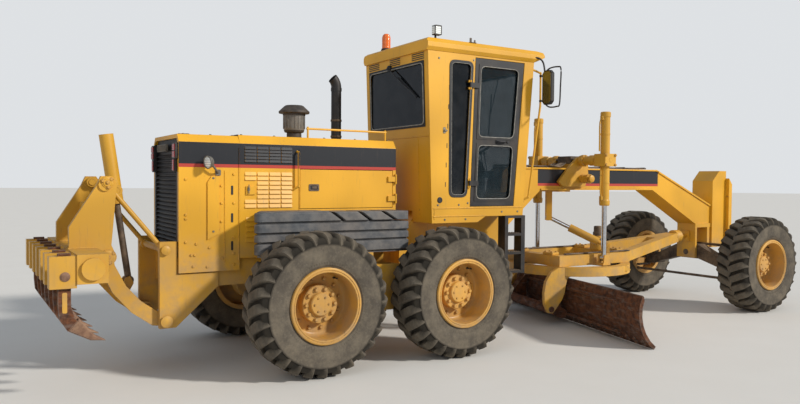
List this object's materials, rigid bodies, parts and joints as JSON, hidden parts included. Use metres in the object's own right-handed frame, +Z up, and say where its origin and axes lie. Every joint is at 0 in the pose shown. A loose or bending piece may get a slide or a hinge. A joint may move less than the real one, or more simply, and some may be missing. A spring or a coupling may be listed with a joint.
{
  "type": "motor grader",
  "caption": "Yellow motor grader with an articulated frame, leaning steered front wheels, a turning and tilting blade on a drawbar and a rear ripper.",
  "frame": {"origin": "on the ground at the middle of the parked machine's bounding box, between its wheels", "axes": "+X towards the machine's front, +Y to its left, +Z up"},
  "size_m": [10.3893, 4.1967, 3.7793],
  "materials": {
    "body_paint": "weathered yellow gloss",
    "frame_paint": "worn yellow with dust",
    "rim_paint": "scuffed dull yellow",
    "dark_steel": "dark worn paint and grease",
    "black_paint": "satin black",
    "guard_grey": "satin dark grey",
    "tyre_rubber": "dusty",
    "blade_steel": "rusty and worn",
    "rod_chrome": "polished rod",
    "engine_grey": "oily grey",
    "cap_plastic": "matte grey",
    "tinted_glass": "tinted",
    "cab_plastic": "matte black"
  },
  "bodies": {
    "rear_body": {"rear_frame": "frame_paint", "tandem_cases": "frame_paint", "engine": "engine_grey", "radiator_guard": "black_paint", "hood_top": "body_paint", "side_panels": "body_paint", "ribbed_guards": "guard_grey", "exhaust_stack": "black_paint", "precleaner": "cap_plastic"},
    "front_body": {"front_frame": "body_paint", "lift_saddle": "frame_paint", "front_axle": "dark_steel", "cab_body": "body_paint", "cab_roof": "body_paint", "cab_glass": "tinted_glass", "cab_interior": "cab_plastic", "cab_fittings": "black_paint"},
    "engine_door_right": {"engine_door_right": "body_paint"},
    "engine_door_left": {"engine_door_left": "body_paint"},
    "cab_door_right": {"cab_door_right": "black_paint", "door_glass_right": "tinted_glass"},
    "cab_door_left": {"cab_door_left": "black_paint", "door_glass_left": "tinted_glass"},
    "lean_right": {"lean_housing_right": "dark_steel"},
    "lean_left": {"lean_housing_left": "dark_steel"},
    "knuckle_right": {"knuckle_right": "dark_steel"},
    "knuckle_left": {"knuckle_left": "dark_steel"},
    "lean_bar": {"lean_bar": "dark_steel"},
    "tie_end": {"tie_end": "dark_steel"},
    "tie_rod": {"tie_rod": "dark_steel"},
    "drawbar": {"drawbar": "frame_paint"},
    "circle": {"circle": "frame_paint"},
    "blade_carrier": {"blade_carrier": "blade_steel"},
    "blade": {"blade": "blade_steel"},
    "lift_barrel_right": {"lift_barrel_right": "frame_paint"},
    "lift_barrel_left": {"lift_barrel_left": "frame_paint"},
    "lift_rod_right": {"lift_rod_right": "rod_chrome"},
    "lift_rod_left": {"lift_rod_left": "rod_chrome"},
    "shift_barrel": {"shift_barrel": "frame_paint"},
    "shift_rod": {"shift_rod": "rod_chrome"},
    "ripper_arms": {"ripper_arms": "frame_paint"},
    "ripper_frame": {"ripper_frame": "frame_paint", "ripper_shanks": "blade_steel"},
    "ripper_links": {"ripper_links": "frame_paint"},
    "ripper_barrel": {"ripper_barrel": "frame_paint"},
    "ripper_rod": {"ripper_rod": "black_paint"},
    "wheel_rear_right": {"wheel_rear_right": "rim_paint", "tyre_rear_right": "tyre_rubber"},
    "wheel_rear_left": {"wheel_rear_left": "rim_paint", "tyre_rear_left": "tyre_rubber"},
    "wheel_mid_right": {"wheel_mid_right": "rim_paint", "tyre_mid_right": "tyre_rubber"},
    "wheel_mid_left": {"wheel_mid_left": "rim_paint", "tyre_mid_left": "tyre_rubber"},
    "wheel_front_right": {"wheel_front_right": "rim_paint", "tyre_front_right": "tyre_rubber"},
    "wheel_front_left": {"wheel_front_left": "rim_paint", "tyre_front_left": "tyre_rubber"}
  },
  "joints": [
    {"name": "wheel_rear_right_spin", "type": "hinge", "parent": "rear_body", "child": "wheel_rear_right", "pos_m": [-2.778, -1.14, 0.71], "axis": [0, 1, 0], "continuous": true},
    {"name": "wheel_rear_left_spin", "type": "hinge", "parent": "rear_body", "child": "wheel_rear_left", "pos_m": [-2.778, 1.14, 0.71], "axis": [0, 1, 0], "continuous": true},
    {"name": "wheel_mid_right_spin", "type": "hinge", "parent": "rear_body", "child": "wheel_mid_right", "pos_m": [-1.122, -1.14, 0.71], "axis": [0, 1, 0], "continuous": true},
    {"name": "wheel_mid_left_spin", "type": "hinge", "parent": "rear_body", "child": "wheel_mid_left", "pos_m": [-1.122, 1.14, 0.71], "axis": [0, 1, 0], "continuous": true},
    {"name": "wheel_front_right_spin", "type": "hinge", "parent": "knuckle_right", "child": "wheel_front_right", "pos_m": [4.53, -1.14, 0.71], "axis": [0, 1, 0], "continuous": true},
    {"name": "wheel_front_left_spin", "type": "hinge", "parent": "knuckle_left", "child": "wheel_front_left", "pos_m": [4.53, 1.14, 0.71], "axis": [0, 1, 0], "continuous": true},
    {"name": "articulation", "type": "hinge", "parent": "rear_body", "child": "front_body", "pos_m": [-1.45, 0, 1.04], "axis": [0, 0, 1], "range_deg": [-20, 20]},
    {"name": "engine_door_right_open", "type": "hinge", "parent": "rear_body", "child": "engine_door_right", "pos_m": [-1.495, -0.516, 1.8], "axis": [0, 0, 1], "range_deg": [0, 90]},
    {"name": "engine_door_left_open", "type": "hinge", "parent": "rear_body", "child": "engine_door_left", "pos_m": [-1.495, 0.516, 1.8], "axis": [0, 0, -1], "range_deg": [0, 90]},
    {"name": "cab_door_right_open", "type": "hinge", "parent": "front_body", "child": "cab_door_right", "pos_m": [-0.605, -0.736, 2.5], "axis": [0, 0, -1], "range_deg": [0, 95]},
    {"name": "cab_door_left_open", "type": "hinge", "parent": "front_body", "child": "cab_door_left", "pos_m": [-0.605, 0.736, 2.5], "axis": [0, 0, 1], "range_deg": [0, 95]},
    {"name": "lean_right", "type": "hinge", "parent": "front_body", "child": "lean_right", "pos_m": [4.53, -0.755, 0.62], "axis": [1, 0, 0], "range_deg": [-18, 18]},
    {"name": "lean_left", "type": "hinge", "parent": "front_body", "child": "lean_left", "pos_m": [4.53, 0.755, 0.62], "axis": [1, 0, 0], "range_deg": [-18, 18]},
    {"name": "lean_bar_turn", "type": "hinge", "parent": "lean_right", "child": "lean_bar", "pos_m": [4.65, -0.755, 0.93], "axis": [1, 0, 0], "range_deg": [-18, 18]},
    {"name": "steer_right", "type": "hinge", "parent": "lean_right", "child": "knuckle_right", "pos_m": [4.53, -0.86, 0.71], "axis": [0, 0, 1], "range_deg": [-50, 50]},
    {"name": "steer_left", "type": "hinge", "parent": "lean_left", "child": "knuckle_left", "pos_m": [4.53, 0.86, 0.71], "axis": [0, 0, 1], "range_deg": [-50, 50]},
    {"name": "tie_end_turn", "type": "hinge", "parent": "knuckle_right", "child": "tie_end", "pos_m": [4.27, -0.86, 0.455], "axis": [0, 0, 1], "range_deg": [-50, 50]},
    {"name": "tie_rod_tilt", "type": "hinge", "parent": "tie_end", "child": "tie_rod", "pos_m": [4.27, -0.86, 0.455], "axis": [1, 0, 0], "range_deg": [-18, 18]},
    {"name": "drawbar_lift", "type": "hinge", "parent": "front_body", "child": "drawbar", "pos_m": [4.15, 0, 1.06], "axis": [0, 1, 0], "range_deg": [-9.5, 11]},
    {"name": "circle_turn", "type": "hinge", "parent": "drawbar", "child": "circle", "pos_m": [1.72, 0, 0.72], "axis": [0, 0, -1], "continuous": true},
    {"name": "blade_tip", "type": "hinge", "parent": "circle", "child": "blade_carrier", "pos_m": [1.08446, 0.15846, 0.235], "axis": [0.2419, 0.9703, 0], "range_deg": [-5, 40]},
    {"name": "blade_shift", "type": "slide", "parent": "blade_carrier", "child": "blade", "axis": [0.2419, 0.9703, 0], "range_m": [-0.58, 0.51]},
    {"name": "lift_barrel_right_swing", "type": "hinge", "parent": "front_body", "child": "lift_barrel_right", "pos_m": [1.75, -0.66, 2.22], "axis": [0, -1, 0], "range_deg": [-1.48, 1.3]},
    {"name": "lift_rod_right_slide", "type": "slide", "parent": "lift_barrel_right", "child": "lift_rod_right", "axis": [0, 0, -1], "range_m": [-0.46521, 0.40245]},
    {"name": "lift_barrel_left_swing", "type": "hinge", "parent": "front_body", "child": "lift_barrel_left", "pos_m": [1.75, 0.66, 2.22], "axis": [0, -1, 0], "range_deg": [-1.48, 1.3]},
    {"name": "lift_rod_left_slide", "type": "slide", "parent": "lift_barrel_left", "child": "lift_rod_left", "axis": [0, 0, -1], "range_m": [-0.46521, 0.40245]},
    {"name": "shift_barrel_swing", "type": "hinge", "parent": "drawbar", "child": "shift_barrel", "pos_m": [2, -0.47, 1.03], "axis": [-0.5948, -0.8039, 0], "range_deg": [-26.75, 30.94]},
    {"name": "shift_rod_slide", "type": "slide", "parent": "shift_barrel", "child": "shift_rod", "axis": [-0.5613, 0.7072, 0.4299], "range_m": [-0.15557, 0.13504]},
    {"name": "ripper_lift", "type": "hinge", "parent": "rear_body", "child": "ripper_arms", "pos_m": [-4.064, 0, 0.539], "axis": [0, -1, 0], "range_deg": [0, 75]},
    {"name": "ripper_frame_turn", "type": "hinge", "parent": "ripper_arms", "child": "ripper_frame", "pos_m": [-4.591, 0, 1.189], "axis": [0, -1, 0], "range_deg": [-75, 0]},
    {"name": "ripper_links_turn", "type": "hinge", "parent": "rear_body", "child": "ripper_links", "pos_m": [-4.071, 0, 1.231], "axis": [0, -1, 0], "range_deg": [0, 75]},
    {"name": "ripper_barrel_swing", "type": "hinge", "parent": "ripper_frame", "child": "ripper_barrel", "pos_m": [-4.445, 0, 1.8], "axis": [0, -1, 0], "range_deg": [-0.2, 20.62]},
    {"name": "ripper_rod_slide", "type": "slide", "parent": "ripper_barrel", "child": "ripper_rod", "axis": [0.1416, 0, -0.9899], "range_m": [-0.42831, 0.005]}
  ],
  "couplings": [
    {"joint": "lean_left", "follows": "lean_right", "ratio": 1},
    {"joint": "lean_bar_turn", "follows": "lean_right", "ratio": -1},
    {"joint": "steer_left", "follows": "steer_right", "ratio": 1},
    {"joint": "tie_end_turn", "follows": "steer_right", "ratio": -1},
    {"joint": "tie_rod_tilt", "follows": "lean_right", "ratio": -0.8779},
    {"joint": "lift_barrel_right_swing", "follows": "drawbar_lift", "ratio": -0.11614},
    {"joint": "lift_rod_right_slide", "follows": "drawbar_lift", "m_per_rad": -2.3971},
    {"joint": "lift_barrel_left_swing", "follows": "drawbar_lift", "ratio": -0.11614},
    {"joint": "lift_rod_left_slide", "follows": "drawbar_lift", "m_per_rad": -2.3971},
    {"joint": "shift_barrel_swing", "follows": "drawbar_lift", "ratio": 2.7943},
    {"joint": "shift_rod_slide", "follows": "drawbar_lift", "m_per_rad": -0.78427},
    {"joint": "ripper_frame_turn", "follows": "ripper_lift", "ratio": -1},
    {"joint": "ripper_links_turn", "follows": "ripper_lift", "ratio": 1},
    {"joint": "ripper_barrel_swing", "follows": "ripper_lift", "ratio": 0.27229},
    {"joint": "ripper_rod_slide", "follows": "ripper_lift", "m_per_rad": -0.32338}
  ]
}
